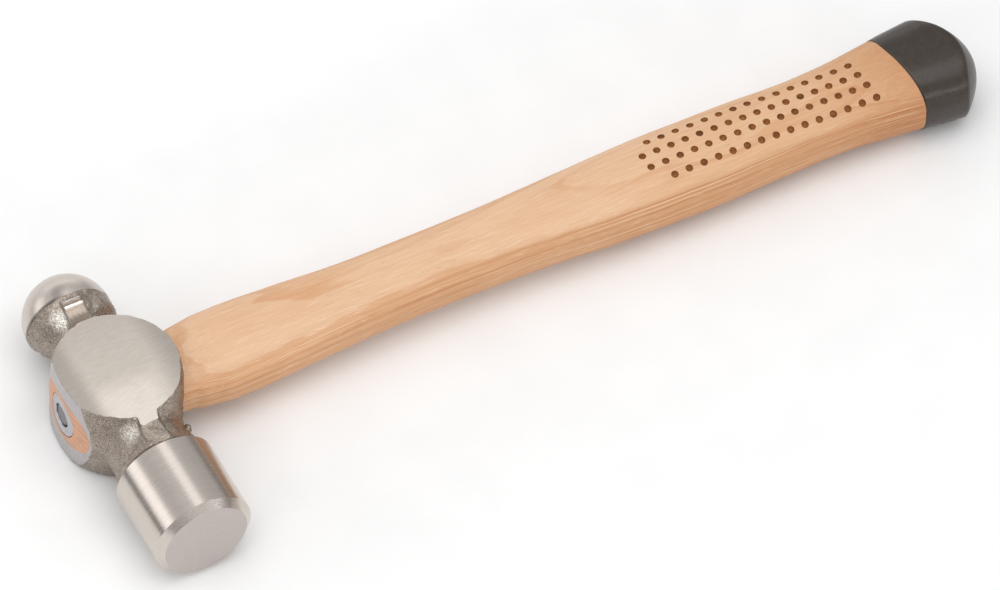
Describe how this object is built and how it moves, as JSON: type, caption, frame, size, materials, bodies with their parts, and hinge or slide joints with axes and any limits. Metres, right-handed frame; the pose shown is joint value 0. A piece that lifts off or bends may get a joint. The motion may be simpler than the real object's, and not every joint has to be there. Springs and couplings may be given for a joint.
{
  "type": "ball peen hammer",
  "caption": "Ball-peen hammer with a forged steel head, oval hardwood handle, ring wedge in the eye and a dipped butt.",
  "frame": {"origin": "centre of the bounding box at its lowest level: the hammer lies on its cheek, and z = 0 is the lowest line of the poll", "axes": "+X along the handle from the head to the butt, +Y along the head from the striking face to the ball, +Z the normal of the upper ground cheek"},
  "size_m": [0.2971, 0.1026, 0.031],
  "materials": {
    "forged_steel": "forged and blasted necks, ground and brushed working faces",
    "ash_wood": "pale straight-grained hardwood, thin satin lacquer",
    "wedge_steel": "belt ground flush with the eye",
    "sealing_plug": "dark matt sealing compound",
    "dip_coat": "satin dark grey-brown dipped lacquer"
  },
  "bodies": {
    "root": {"head": "forged_steel", "handle": "ash_wood", "ring_wedge": "wedge_steel", "sealing_plug": "sealing_plug", "butt_coat": "dip_coat"}
  },
  "joints": []
}
